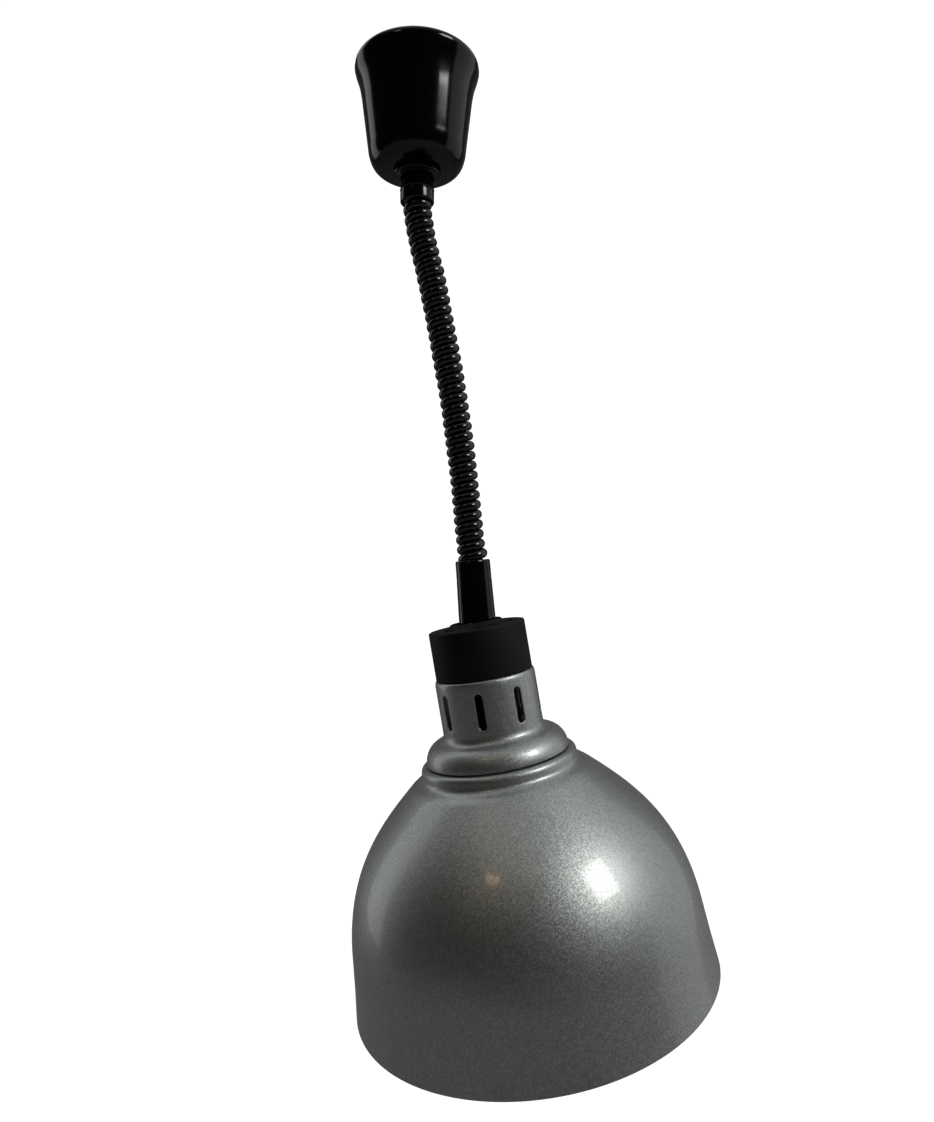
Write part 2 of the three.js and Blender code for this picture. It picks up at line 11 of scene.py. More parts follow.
import bmesh
import bpy
import numpy as np
from bpy.props import FloatProperty, FloatVectorProperty, IntProperty, PointerProperty
from bpy.types import NodeSocket, Operator, Panel, PropertyGroup
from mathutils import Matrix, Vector


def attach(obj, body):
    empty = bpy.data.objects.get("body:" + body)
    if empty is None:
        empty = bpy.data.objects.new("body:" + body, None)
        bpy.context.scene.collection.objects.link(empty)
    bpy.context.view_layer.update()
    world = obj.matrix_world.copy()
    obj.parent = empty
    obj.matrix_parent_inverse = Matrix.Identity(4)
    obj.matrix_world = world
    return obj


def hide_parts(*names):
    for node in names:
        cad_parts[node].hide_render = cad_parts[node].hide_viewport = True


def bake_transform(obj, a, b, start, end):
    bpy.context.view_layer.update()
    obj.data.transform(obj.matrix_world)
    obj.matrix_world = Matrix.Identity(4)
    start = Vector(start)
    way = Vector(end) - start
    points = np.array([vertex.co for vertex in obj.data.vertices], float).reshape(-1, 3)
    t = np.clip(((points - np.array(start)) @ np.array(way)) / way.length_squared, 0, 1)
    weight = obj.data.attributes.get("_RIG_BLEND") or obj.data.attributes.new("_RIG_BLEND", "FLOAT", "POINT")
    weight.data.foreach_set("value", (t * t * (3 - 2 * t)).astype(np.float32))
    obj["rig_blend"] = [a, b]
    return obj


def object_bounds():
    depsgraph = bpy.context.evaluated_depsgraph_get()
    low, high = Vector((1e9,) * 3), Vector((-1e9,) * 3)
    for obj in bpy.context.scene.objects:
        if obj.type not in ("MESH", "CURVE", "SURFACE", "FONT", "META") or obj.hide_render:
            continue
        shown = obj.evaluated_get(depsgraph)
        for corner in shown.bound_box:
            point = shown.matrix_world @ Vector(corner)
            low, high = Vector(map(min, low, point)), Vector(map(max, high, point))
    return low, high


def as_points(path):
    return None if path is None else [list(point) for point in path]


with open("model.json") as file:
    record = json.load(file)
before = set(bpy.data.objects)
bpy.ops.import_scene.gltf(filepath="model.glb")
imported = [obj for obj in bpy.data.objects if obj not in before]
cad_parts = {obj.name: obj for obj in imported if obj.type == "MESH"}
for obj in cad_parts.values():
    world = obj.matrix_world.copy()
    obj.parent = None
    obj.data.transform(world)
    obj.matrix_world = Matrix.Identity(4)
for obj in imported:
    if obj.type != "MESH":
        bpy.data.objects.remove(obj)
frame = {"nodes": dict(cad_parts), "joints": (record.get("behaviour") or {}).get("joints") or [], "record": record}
CAD_BOX = [list(corner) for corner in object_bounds()]

bl_info = {
    "name": "Heat lamp looks",
    "version": (1, 0, 0),
    "blender": (4, 5, 0),
    "location": "3D View > Sidebar > Heat lamp",
    "description": "Builds the visible shells, cord, finishes and studio of a ceiling-hung heat lamp",
    "category": "Object",
}

MM = 0.001
JOINTS = {joint["name"]: joint for joint in frame["joints"]}
SWIVEL = np.array(JOINTS["head_tilt"]["pos_m"])
LAMP_AXIS = np.array(JOINTS["lamp_turn"]["axis"])
REEL_CENTRE = np.array(JOINTS["reel_spin"]["pos_m"])
SLEEVE_LEAN = math.radians(4.6)
LAMP_LEAN = math.atan2(-LAMP_AXIS[0], LAMP_AXIS[2])
SWIVEL_DEPTH = 0.014
FULL_TURN = 2 * math.pi


# ---------- settings ----------


class CordSizes(PropertyGroup):
    """Sizes of the coiled cord and the wire inside it."""

    cable: FloatProperty(
        name="Cable", description="Diameter of the cable", default=0.0073, unit="LENGTH"
    )
    coil: FloatProperty(
        name="Coil", description="Outer diameter of the coil", default=0.0217, unit="LENGTH"
    )
    pitch: FloatProperty(
        name="Pitch", description="Length of coil that one turn takes", default=0.0074, unit="LENGTH"
    )
    wire: FloatProperty(
        name="Pull wire", description="Diameter of the steel pull wire", default=0.0016, unit="LENGTH"
    )
    points: IntProperty(name="Points", description="Points along one turn", default=40, min=12)
    sides: IntProperty(name="Sides", description="Sides of the cable's section", default=18, min=8)


class ShellSizes(PropertyGroup):
    """How finely the turned shells are drawn."""

    columns: IntProperty(name="Columns", description="Columns round a shell", default=192, min=24)
    crease: FloatProperty(
        name="Crease", description="Edges sharper than this stay crisp", default=math.radians(32),
        subtype="ANGLE",
    )


class FinishSettings(PropertyGroup):
    """Colours and gloss of the lamp's main finishes."""

    silver: FloatVectorProperty(
        name="Silver", description="Colour of the flake paint", default=(0.345, 0.368, 0.358),
        subtype="COLOR", size=3,
    )
    silver_rough: FloatProperty(
        name="Silver roughness", description="Spread of the flake layer", default=0.47, subtype="FACTOR"
    )
    flake: FloatProperty(
        name="Flake", description="Size of one flake", default=0.00055, unit="LENGTH"
    )
    gloss_black: FloatVectorProperty(
        name="Gloss black", description="Colour of the polished black mouldings",
        default=(0.0011, 0.0010, 0.0010), subtype="COLOR", size=3,
    )
    matte_black: FloatVectorProperty(
        name="Matte black", description="Colour of the cap", default=(0.004, 0.004, 0.0042),
        subtype="COLOR", size=3,
    )
    cord_black: FloatVectorProperty(
        name="Cord black", description="Colour of the cable's sheath", default=(0.0012, 0.0012, 0.0013),
        subtype="COLOR", size=3,
    )


class StudioSettings(PropertyGroup):
    """Light levels of the studio."""

    tent: FloatProperty(name="Tent", description="Brightness of the white surroundings", default=0.55)
    room: FloatProperty(name="Room", description="Brightness of the dark room in front", default=0.02)
    key: FloatProperty(name="Key", description="Power of the large softbox", default=78, unit="POWER")
    warm: FloatProperty(name="Warm", description="Power of the warm lamp", default=3.6, unit="POWER")
    floor: FloatProperty(name="Floor", description="Height of the floor", default=-2.2, unit="LENGTH")


class HeatLampSettings(PropertyGroup):
    """All of the lamp's settings."""

    cord: PointerProperty(type=CordSizes, name="Cord", description="Cord sizes")
    shell: PointerProperty(type=ShellSizes, name="Shells", description="Shell resolution")
    finish: PointerProperty(type=FinishSettings, name="Finishes", description="Finish colours")
    studio: PointerProperty(type=StudioSettings, name="Studio", description="Studio levels")


def settings():
    """The scene's own copy of the lamp's settings."""
    return bpy.context.scene.heat_lamp


# ---------- places ----------


def leaning(origin, lean):
    """A place for local points in millimetres: they turn by the lean in the XZ plane, then move."""
    c, s = math.cos(lean), math.sin(lean)
    turn = np.array([[c, 0, -s], [0, 1, 0], [s, 0, c]])
    return lambda points: points * MM @ turn.T + origin


def on_reel(points):
    """Local Z becomes the reel's own axis, which lies along Y."""
    return np.stack([points[..., 0], points[..., 2], -points[..., 1]], -1) * MM + REEL_CENTRE


upright = leaning(np.zeros(3), 0.0)
in_sleeve = leaning(SWIVEL, SLEEVE_LEAN)
in_head = leaning(SWIVEL + LAMP_AXIS * SWIVEL_DEPTH, LAMP_LEAN)


# ---------- profiles, in millimetres ----------


def bend(a, b, c, d, steps=14):
    """A cubic curve: (1-t)^3 a + 3t(1-t)^2 b + 3t^2(1-t) c + t^3 d."""
    t = np.linspace(0, 1, steps)[:, None]
    a, b, c, d = (np.asarray(p, float) for p in (a, b, c, d))
    return (1 - t) ** 3 * a + 3 * t * (1 - t) ** 2 * b + 3 * t * t * (1 - t) * c + t**3 * d


def smooth(points, steps=8):
    """A centripetal curve through points: each span is a cubic Hermite whose end slopes come from its
    neighbours, with parameter steps equal to the square root of each span's length."""
    p = np.asarray(points, float)
    p = np.vstack([2 * p[0] - p[1], p, 2 * p[-1] - p[-2]])
    gap = np.sqrt(np.linalg.norm(np.diff(p, axis=0), axis=1))[:, None]
    slope = np.diff(p, axis=0) / gap
    wide = (p[2:] - p[:-2]) / (gap[1:] + gap[:-1])
    tangent = slope[:-1] - wide + slope[1:]
    t = np.linspace(0, 1, steps, endpoint=False)[None, :, None]
    start, end = p[1:-2, None], p[2:-1, None]
    m0, m1 = (tangent[:-1] * gap[1:-1])[:, None], (tangent[1:] * gap[1:-1])[:, None]
    curve = (
        (2 * t**3 - 3 * t**2 + 1) * start
        + (t**3 - 2 * t**2 + t) * m0
        + (3 * t**2 - 2 * t**3) * end
        + (t**3 - t**2) * m1
    )
    return np.vstack([curve.reshape(-1, p.shape[1]), p[-2]])


def outline(*parts, steps=5):
    """Joins parts into one profile. A row may have a third number, how far its corner is rounded along
    each side: the corner becomes (1-t)^2 a + 2t(1-t) corner + t^2 b between the two ends a and b."""
    rows = np.array([(*row, 0)[:3] for part in parts for row in part], float)
    here = rows[:, :2]
    back, ahead = np.roll(here, 1, 0) - here, np.roll(here, -1, 0) - here
    back_length = np.maximum(np.linalg.norm(back, axis=1), 1e-9)[:, None]
    ahead_length = np.maximum(np.linalg.norm(ahead, axis=1), 1e-9)[:, None]
    reach = np.minimum(rows[:, 2:], 0.48 * np.minimum(back_length, ahead_length))
    a, b = here + back / back_length * reach, here + ahead / ahead_length * reach
    t = np.linspace(0, 1, steps)[None, :, None]
    curve = (1 - t) ** 2 * a[:, None] + 2 * t * (1 - t) * here[:, None] + t * t * b[:, None]
    points = curve.reshape(-1, 2)
    moved = np.linalg.norm(np.diff(points, axis=0), axis=1) > 1e-4
    return points[np.concatenate([[True], moved])]


def shut(profile):
    """The profile with its first point again at its end, for a wall that closes on itself."""
    return np.vstack([profile, profile[:1]])


# ---------- grids of points ----------


def turned(profile, place, columns=None, start=0.0):
    """Carries a profile round the axis: x = r cos a, y = r sin a, z = height."""
    angle = start + np.linspace(0, FULL_TURN, (columns or settings().shell.columns) + 1)
    r, z = profile[:, 0, None], profile[:, 1, None]
    return place(np.stack([r * np.cos(angle), r * np.sin(angle), z + 0 * angle], -1))


def bar(centres, sideways, radius, sides):
    """A round bar: each ring is centre + radius (cos a n + sin a b), where n is the sideways vector
    squared to the path and b is across both. Its first and last rows close on the path."""
    along = np.gradient(centres, axis=0)
    along /= np.linalg.norm(along, axis=1)[:, None]
    n = sideways - (sideways * along).sum(1)[:, None] * along
    n /= np.linalg.norm(n, axis=1)[:, None]
    b = np.cross(along, n)
    a = np.linspace(0, FULL_TURN, sides + 1)[None, :, None]
    radius = np.broadcast_to(radius, len(centres))[:, None, None]
    rings = centres[:, None] + radius * (np.cos(a) * n[:, None] + np.sin(a) * b[:, None])
    cap = np.ones((1, sides + 1, 1))
    return np.concatenate([centres[None, :1] * cap, rings, centres[None, -1:] * cap])


def pierced(half_long, half_wide, slot_long, slot_wide, wall, place, edge, samples):
    """A patch of wall round one round-ended slot, long side along the first coordinate.

    The first two sizes are half the patch's, and the next two half the slot's. samples is how many
    points an end and a side of the patch have. A loop starts as the patch's own rectangle and blends in
    a straight line into the slot's outline on the outer face. It then rolls over the slot's edge,
    crosses the wall, rolls again and blends back out on the inner face. Every loop has the same
    samples, so the rectangle matches its neighbours.
    """
    ends, sides = samples
    quarter = np.linspace(math.pi / 2, -math.pi / 2, ends)
    run = np.linspace(1, -1, sides)
    width = np.linspace(1, -1, ends)
    one = np.ones
    box = np.concatenate([
        np.stack([half_long * one(ends), half_wide * width], 1)[:-1],
        np.stack([half_long * run, -half_wide * one(sides)], 1)[:-1],
        np.stack([-half_long * one(ends), -half_wide * width], 1)[:-1],
        np.stack([-half_long * run, half_wide * one(sides)], 1),
    ])
    straight = slot_long - slot_wide

    def slot(grow):
        """The slot's outline, grown outwards: half circles at both ends, joined by straight sides."""
        radius = slot_wide + grow
        cap = np.stack([straight + radius * np.cos(quarter), radius * np.sin(quarter)], 1)
        near = np.stack([straight * run, -radius * one(sides)], 1)
        return np.concatenate([cap[:-1], near[:-1], -cap[:-1], -near])

    roll = np.linspace(0, math.pi / 2, 5)
    blend = np.linspace(0, 1, 7)[:, None, None]
    flat = (1 - blend) * box + blend * slot(edge)
    over = np.stack([slot(edge * (1 - math.sin(t))) for t in roll[1:]])
    loops = np.concatenate([flat, over, over[::-1], flat[::-1]])
    sunk = np.concatenate([np.zeros(7), edge * (1 - np.cos(roll[1:]))])
    depth = np.concatenate([sunk, wall - sunk[::-1]])[:, None]
    return place(loops[..., 0], loops[..., 1], depth + 0 * loops[..., 0])


# ---------- pieces ----------


def quads(grid, start=0):
    """A grid's faces: each joins a point, the next in its row and the two after them in the next row."""
    rows, columns = grid.shape[:2]
    index = np.arange(rows * columns).reshape(rows, columns) + start
    corners = [index[:-1, :-1], index[:-1, 1:], index[1:, 1:], index[1:, :-1]]
    return np.stack(corners, -1).reshape(-1, 4)


def make_piece(name, grids, finish, body=None, replaces=(), share=None, uv=None):
    """One mesh from grids of points: four neighbours make a face, doubles are merged and the faces are
    turned outwards. share is one number for each row, kept on its points. uv is (along, around)."""
    counts = [grid.shape[0] * grid.shape[1] for grid in grids]
    starts = np.concatenate([[0], np.cumsum(counts)[:-1]])
    faces = np.concatenate([quads(grid, start) for grid, start in zip(grids, starts, strict=True)])
    points = np.concatenate([grid.reshape(-1, 3) for grid in grids])
    mesh = bpy.data.meshes.new(name)
    mesh.vertices.add(len(points))
    mesh.vertices.foreach_set("co", points.astype(np.float32).ravel())
    mesh.loops.add(faces.size)
    mesh.loops.foreach_set("vertex_index", faces.ravel().astype(np.int32))
    mesh.polygons.add(len(faces))
    mesh.polygons.foreach_set("loop_start", np.arange(0, faces.size, 4, dtype=np.int32))
    mesh.update(calc_edges=True)
    if share is not None:
        layer = mesh.attributes.new("row_share", "FLOAT", "POINT")
        spread = np.repeat(np.asarray(share, np.float32), grids[0].shape[1])
        layer.data.foreach_set("value", spread)
    if uv is not None:
        layer = mesh.uv_layers.new(name="UVMap")
        along, around = np.meshgrid(uv[0], uv[1], indexing="ij")
        pairs = np.stack([along.ravel(), around.ravel()], 1)[faces.ravel()]
        layer.data.foreach_set("uv", pairs.astype(np.float32).ravel())
    weld(mesh)
    mesh.polygons.foreach_set("use_smooth", np.ones(len(mesh.polygons), bool))
    mesh.set_sharp_from_angle(angle=settings().shell.crease)
    mesh.materials.append(FINISHES[finish]())
    piece = bpy.data.objects.new(name, mesh)
    bpy.context.scene.collection.objects.link(piece)
    if body:
        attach(piece, body)
    if replaces:
        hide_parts(*replaces)
    return piece


def weld(mesh):
    """Merges points that coincide and turns all faces outwards."""
    shape = bmesh.new()
    shape.from_mesh(mesh)
    bmesh.ops.remove_doubles(shape, verts=shape.verts, dist=2e-6)
    bmesh.ops.recalc_face_normals(shape, faces=shape.faces)
    shape.to_mesh(mesh)
    shape.free()


def turned_piece(name, profile, place, finish, body, columns=None):
    """A closed profile turned into one piece that stands for the CAD node of its name."""
    grids = [turned(shut(profile), place, columns)]
    return make_piece(name + "_skin", grids, finish, body, (name,))


# ---------- finishes ----------


def input_of(node, key):
    """A node's input: i0, i1 and so on give its number, and anything else is its name."""
    return node.inputs[int(key[1:]) if key[1:].isdigit() else key.replace("_", " ")]


def add(tree, kind, options=None, **inputs):
    """A node with its options set. Each input is a value, or the socket that feeds it."""
    node = tree.nodes.new(kind)
    for key, value in (options or {}).items():
        setattr(node, key, value)
    for key, value in inputs.items():
        socket = input_of(node, key)
        if isinstance(value, NodeSocket):
            tree.links.new(value, socket)
        else:
            socket.default_value = value
    return node


def finish_base(name):
    """A new material's tree, its shader and the Object coordinates."""
    material = bpy.data.materials.new(name)
    material.use_nodes = True
    tree = material.node_tree
    shader = next(n for n in tree.nodes if n.type == "BSDF_PRINCIPLED")
    return material, tree, shader, tree.nodes.new("ShaderNodeTexCoord").outputs["Object"]


def noise(tree, vector, scale, detail=3.0, rough=0.55):
    """A cloudy value from 0 to 1."""
    node = add(tree, "ShaderNodeTexNoise", Vector=vector, Scale=scale, Detail=detail, Roughness=rough)
    return node.outputs["Fac"]


def between(tree, value, low, high, source=(0.0, 1.0)):
    """Maps a value from the source span to low..high."""
    node = add(
        tree, "ShaderNodeMapRange", Value=value, From_Min=source[0], From_Max=source[1],
        To_Min=low, To_Max=high,
    )
    return node.outputs["Result"]


def tinted(tree, value, dark, light):
    """A colour between two, by a value."""
    mix = add(
        tree, "ShaderNodeMix", {"data_type": "RGBA"}, i0=value, i6=(*dark, 1), i7=(*light, 1)
    )
    return mix.outputs[2]


def bumped(tree, height, strength, distance):
    """A normal tilted by a height."""
    node = add(tree, "ShaderNodeBump", Height=height, Strength=strength, Distance=distance)
    return node.outputs["Normal"]


def scaled(colour, factor):
    """A colour made lighter or darker, at most white."""
    return tuple(min(1.0, channel * factor) for channel in colour)


def plain_finish(
    name, colour, rough, metallic=0.0, mottle=0.12, scale=60.0, bump=0.03, distance=0.0002,
    grain=900.0, coat=0.0, stretch=(1, 1, 1), spread=0.3, specular=0.5,
):
    """A moulded, cast or plated surface: soft mottling, uneven gloss and a fine grain."""
    material, tree, shader, place = finish_base(name)
    stretched = add(tree, "ShaderNodeMapping", Vector=place, Scale=stretch).outputs["Vector"]
    cloud = noise(tree, place, scale)
    fine = noise(tree, stretched, grain, 2.0)
    tint = tinted(tree, cloud, scaled(colour, 1 - mottle), scaled(colour, 1 + mottle))
    tree.links.new(tint, shader.inputs["Base Color"])
    gloss = between(tree, fine, rough * (1 - spread), rough * (1 + spread))
    tree.links.new(gloss, shader.inputs["Roughness"])
    tree.links.new(bumped(tree, fine, bump, distance), shader.inputs["Normal"])
    shader.inputs["Metallic"].default_value = metallic
    shader.inputs["Coat Weight"].default_value = coat
    shader.inputs["Coat Roughness"].default_value = 0.05
    shader.inputs["Specular IOR Level"].default_value = specular
    return material


def silver_paint():
    """Metallic flake paint under a clear coat: each flake has its own tilt and brightness."""
    look = settings().finish
    material, tree, shader, place = finish_base("silver_paint")
    flake = add(tree, "ShaderNodeTexVoronoi", Vector=place, Scale=1 / look.flake)
    clump = noise(tree, place, 0.35 / look.flake, 2.0)
    random = flake.outputs["Color"]
    offset = add(tree, "ShaderNodeVectorMath", {"operation": "SUBTRACT"}, i0=random, i1=(0.5, 0.5, 0.5))
    tilt = add(tree, "ShaderNodeVectorMath", {"operation": "SCALE"}, i0=offset.outputs[0], i3=0.1)
    facing = tree.nodes.new("ShaderNodeNewGeometry").outputs["Normal"]
    summed = add(tree, "ShaderNodeVectorMath", {"operation": "ADD"}, i0=facing, i1=tilt.outputs[0])
    normal = add(tree, "ShaderNodeVectorMath", {"operation": "NORMALIZE"}, i0=summed.outputs[0])
    tree.links.new(normal.outputs[0], shader.inputs["Normal"])
    shine = add(tree, "ShaderNodeSeparateColor", Color=random).outputs[0]
    sparkle = add(tree, "ShaderNodeMath", {"operation": "MULTIPLY"}, i0=shine, i1=clump)
    bright = between(tree, sparkle.outputs[0], 0, 1, (0.1, 0.5))
    colour = tuple(look.silver)
    tint = tinted(tree, bright, scaled(colour, 0.8), scaled(colour, 1.22))
    tree.links.new(tint, shader.inputs["Base Color"])
    gloss = between(tree, clump, look.silver_rough * 0.88, look.silver_rough * 1.12)
    tree.links.new(gloss, shader.inputs["Roughness"])
    shader.inputs["Metallic"].default_value = 1.0
    shader.inputs["Coat Weight"].default_value = 0.45
    shader.inputs["Coat Roughness"].default_value = 0.09
    shader.inputs["Coat IOR"].default_value = 1.5
    return material


def gloss_black():
    """Polished black plastic with a slight orange peel."""
    return plain_finish(
        "gloss_black", tuple(settings().finish.gloss_black), 0.13, mottle=0.1, bump=0.02,
        distance=0.00008, grain=260.0, spread=0.25, specular=0.3,
    )


def matte_black():
    """Fine-textured black plastic."""
    return plain_finish(
        "matte_black", tuple(settings().finish.matte_black), 0.6, mottle=0.12, bump=0.2,
        distance=0.00012, grain=2600.0, spread=0.1, specular=0.15,
    )


def cord_black():
    """A polished rubber sheath with fine drawn lines along the cable and faint scuffs."""
    material, tree, shader, place = finish_base("cord_black")
    colour = tuple(settings().finish.cord_black)
    scuff = noise(tree, place, 140.0, 4.0)
    drawn = tree.nodes["Texture Coordinate"].outputs["UV"]
    lines = add(tree, "ShaderNodeMapping", Vector=drawn, Scale=(60, 90, 1)).outputs["Vector"]
    fine = noise(tree, lines, 1.0, 2.0)
    tint = tinted(tree, scuff, scaled(colour, 0.8), scaled(colour, 1.25))
    tree.links.new(tint, shader.inputs["Base Color"])
    tree.links.new(between(tree, scuff, 0.13, 0.2), shader.inputs["Roughness"])
    shader.inputs["Specular IOR Level"].default_value = 0.45
    tree.links.new(bumped(tree, fine, 0.03, 0.00005), shader.inputs["Normal"])
    return material


def zinc_steel():
    """Bright zinc plate with a soft spangle and a faint warm and cool cast."""
    return plain_finish(
        "zinc_steel", (0.52, 0.53, 0.55), 0.34, metallic=1.0, mottle=0.14, scale=110.0, bump=0.05,
        grain=1400.0, stretch=(1, 6, 1),
    )


def spring_steel():
    """Blued steel strip."""
    return plain_finish("spring_steel", (0.17, 0.19, 0.24), 0.28, metallic=1.0, mottle=0.25, scale=40.0)


def brass():
    """Turned brass, a little dull."""
    return plain_finish("brass", (0.62, 0.44, 0.19), 0.27, metallic=1.0, mottle=0.1, scale=90.0)


def porcelain():
    """Porcelain under a clear glaze, its near-black colour painted shade for the dark inside of the neck."""
    # The near-black colour is painted shade: the holder stands deep in the neck, where only shade shows through
    # the slots.
    return plain_finish(
        "porcelain", (0.016, 0.014, 0.012), 0.22, mottle=0.1, coat=0.5, bump=0.02, grain=300.0
    )


def nylon():
    """Natural, off-white nylon."""
    return plain_finish("nylon", (0.72, 0.7, 0.63), 0.48, mottle=0.04, bump=0.05, grain=1200.0)


def bulb_metal():
    """Thin aluminium of the bulb's cap."""
    return plain_finish("bulb_metal", (0.66, 0.67, 0.68), 0.25, metallic=1.0, mottle=0.06)


def bulb_glass():
    """Reflector glass: mirror-silvered above its widest ring and satin white on its face."""
    material, tree, shader, place = finish_base("bulb_glass")
    widest = in_head(np.array([0.0, 0.0, -208.0]))
    down = tuple(-LAMP_AXIS)
    centred = add(tree, "ShaderNodeVectorMath", {"operation": "SUBTRACT"}, i0=place, i1=tuple(widest))
    below = centred.outputs[0]
    depth = add(tree, "ShaderNodeVectorMath", {"operation": "DOT_PRODUCT"}, i0=below, i1=down)
    face = between(tree, depth.outputs["Value"], 0, 1, (-0.002, 0.002))
    satin = noise(tree, place, 700.0, 2.0)
    tint = tinted(tree, face, (0.72, 0.73, 0.74), (0.86, 0.87, 0.86))
    tree.links.new(tint, shader.inputs["Base Color"])
    tree.links.new(between(tree, face, 1, 0), shader.inputs["Metallic"])
    tree.links.new(between(tree, face, 0.07, 0.42), shader.inputs["Roughness"])
    tree.links.new(bumped(tree, satin, 0.05, 0.0001), shader.inputs["Normal"])
    shader.inputs["Coat Weight"].default_value = 0.4
    return material


FINISH_MAKERS = (
    silver_paint, gloss_black, matte_black, cord_black, zinc_steel, spring_steel, brass, porcelain,
    nylon, bulb_metal, bulb_glass,
)
FINISHES = {maker.__name__: cache(maker) for maker in FINISH_MAKERS}


# ---------- cord ----------

# The middle of the coil in the XZ plane, and its stretches: two bodies, and the heights of its ends.
CORD_ROUTE = [
    [0, -98], [0.4, -110], [4.4, -134], [10.2, -158], [17.5, -195],
    [27, -248], [34.5, -304], [39.2, -350], [41.5, -372.5], [42.3, -379.5],
]
CORD_STRETCHES = [
    ("ceiling_unit", "cord_top", -98, -120),
    ("cord_top", "cord_shoulder", -120, -142),
    ("cord_shoulder", "cord_drop", -142, -330),
    ("cord_drop", "cord_foot", -330, -351),
    ("cord_foot", "sleeve", -351, -379.5),
]
SLIDE_STRETCH = 2


def cord_axis(count):
    """Points evenly along the middle of the coil, as (distance, points), in metres."""
    path = smooth(CORD_ROUTE, 60) * MM
    path = np.stack([path[:, 0], 0 * path[:, 0], path[:, 1]], 1)
    run = np.concatenate([[0], np.cumsum(np.linalg.norm(np.diff(path, axis=0), axis=1))])
    distance = np.linspace(0, run[-1], count)
    return distance, np.stack([np.interp(distance, run, path[:, k]) for k in range(3)], 1)


def stretch_share(distance, first, last, bends):
    """How far along its stretch each point is, from 0 to 1: even where the cord stretches, and
    t^2 (3 - 2t), which has soft ends, where it bends."""
    t = np.clip((distance - first) / (last - first), 0, 1)
    return t * t * (3 - 2 * t) if bends else t


def stretches(distance, heights):
    """For each stretch: its number, its two bodies, the part of the points in it and their shares.
    A stretch keeps one point of the next, so that the two meet."""
    last = len(CORD_STRETCHES) - 1
    for k, (upper, lower, high, low) in enumerate(CORD_STRETCHES):
        inside = np.flatnonzero((heights <= high * MM + 1e-5) & (heights >= low * MM - 1e-4))
        part = slice(inside[0], inside[-1] + (1 if k == last else 2))
        run = distance[part]
        yield k + 1, (upper, lower), part, stretch_share(run, run[0], run[-1], k != SLIDE_STRETCH)


def carried(name, centres, sideways, radius, sides, share, finish, bodies, run):
    """A bar between two bodies: each ring follows them by its own share, so it stays round. The bar's
    two end points take the share and the distance of the rings beside them."""
    grid = bar(centres, sideways, radius, sides)
    share, run = (np.concatenate([row[:1], row, row[-1:]]) for row in (share, run))
    piece = make_piece(name, [grid], finish, share=share, uv=(run, np.linspace(0, 1, sides + 1)))
    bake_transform(piece, *bodies, start=tuple(centres[0]), end=tuple(centres[-1]))
    mesh = piece.data
    rows = np.zeros(len(mesh.vertices), np.float32)
    mesh.attributes["row_share"].data.foreach_get("value", rows)
    mesh.attributes["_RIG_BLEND"].data.foreach_set("value", rows)
    mesh.attributes.remove(mesh.attributes["row_share"])
    return piece


class MakeCord(Operator):
    """Winds the cable round the cord's axis and cuts it where the lamp bends or stretches"""

    bl_idname = "heat_lamp.cord"
    bl_label = "Coiled cord"

    def execute(self, context):
        """A turn is centre + R (cos a n + sin a Y), with a falling by one turn for each pitch. R varies
        by two small sines of the distance. It swells by a Gaussian at the one loose turn over the lower
        sleeve, where the middle moves out as well, and shrinks where both ends enter their sleeves."""
        sizes = settings().cord
        _, route = cord_axis(400)
        length = np.linalg.norm(np.diff(route, axis=0), axis=1).sum()
        count = int(length / sizes.pitch * sizes.points)
        distance, centre = cord_axis(count)
        along = np.gradient(centre, axis=0)
        along /= np.linalg.norm(along, axis=1)[:, None]
        n = np.stack([-along[:, 2], along[:, 1], along[:, 0]], 1)
        angle = -FULL_TURN * distance / sizes.pitch
        radius = (sizes.coil - sizes.cable) / 2
        loose = np.exp(-(((distance - length + 0.0125) / 0.0042) ** 2))
        uneven = 0.00012 * np.sin(distance * 103 + 1) + 0.00008 * np.sin(distance * 331)
        rounds = radius + uneven + 0.0007 * loose
        rounds -= 0.0020 * np.clip(1 - distance / 0.003, 0, 1)
        rounds -= 0.0013 * np.clip((distance - length + 0.0075) / 0.003, 0, 1)
        centre = centre + n * (0.0007 * loose)[:, None]
        out = np.cos(angle)[:, None] * n + np.sin(angle)[:, None] * np.array([0, 1, 0])
        cable = centre + rounds[:, None] * out
        run = np.concatenate([[0], np.cumsum(np.linalg.norm(np.diff(cable, axis=0), axis=1))])
        for number, bodies, part, share in stretches(distance, centre[:, 2]):
            piece = carried(
                f"coil_{number}", cable[part], out[part], sizes.cable / 2, sizes.sides, share,
                "cord_black", bodies, run[part],
            )
            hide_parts(f"coil_cord_{number}")
            tuple(cable[part][0])
            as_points(cable[part])
        self.pull_wire()
        return {"FINISHED"}

    def pull_wire(self):
        """The steel wire down the middle, cut at the same places as the coil."""
        sizes = settings().cord
        distance, centre = cord_axis(420)
        for number, bodies, part, share in stretches(distance, centre[:, 2]):
            sideways = np.tile([0.0, 1.0, 0.0], (len(centre[part]), 1))
            carried(
                f"pull_wire_{number}", centre[part], sideways, sizes.wire / 2, 12, share,
                "zinc_steel", bodies, distance[part],
            )


